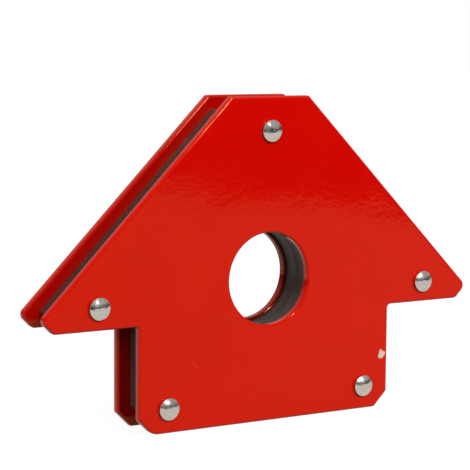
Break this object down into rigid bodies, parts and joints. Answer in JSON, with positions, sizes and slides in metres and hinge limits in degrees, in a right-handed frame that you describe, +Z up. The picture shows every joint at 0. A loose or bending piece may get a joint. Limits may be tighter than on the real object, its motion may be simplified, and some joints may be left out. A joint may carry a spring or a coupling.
{
  "type": "magnetic welding holder",
  "caption": "Arrow-shaped magnetic welding holder: red steel plates riveted over a magnet core, with a through hole, for holding work at 45, 90 and 135 degrees.",
  "frame": {"origin": "on the bottom edge of the stem, at mid width and mid thickness", "axes": "+X across the wings to the right seen from the front, +Y through the thickness towards the back, +Z up towards the flat top; the domed rivet heads face -Y"},
  "size_m": [0.1554, 0.0212, 0.102],
  "materials": {
    "red_paint": "glossy red powder coat on steel",
    "core_plastic": "dark grey moulded plastic",
    "ferrite": "ground grey ferrite",
    "rivet_nickel": "bright nickel plate",
    "sleeve_zinc": "plain turned tube"
  },
  "bodies": {
    "root": {"front_plate": "red_paint", "back_plate": "red_paint", "core_frame": "core_plastic", "left_upper_slant_magnet": "ferrite", "left_lower_slant_magnet": "ferrite", "right_upper_slant_magnet": "ferrite", "right_lower_slant_magnet": "ferrite", "left_side_magnet": "ferrite", "right_side_magnet": "ferrite", "left_base_magnet": "ferrite", "right_base_magnet": "ferrite", "top_rivet": "rivet_nickel", "left_wing_rivet": "rivet_nickel", "right_wing_rivet": "rivet_nickel", "left_foot_rivet": "rivet_nickel", "right_foot_rivet": "rivet_nickel", "top_sleeve": "sleeve_zinc", "left_wing_sleeve": "sleeve_zinc", "right_wing_sleeve": "sleeve_zinc", "left_foot_sleeve": "sleeve_zinc", "right_foot_sleeve": "sleeve_zinc"}
  },
  "joints": []
}
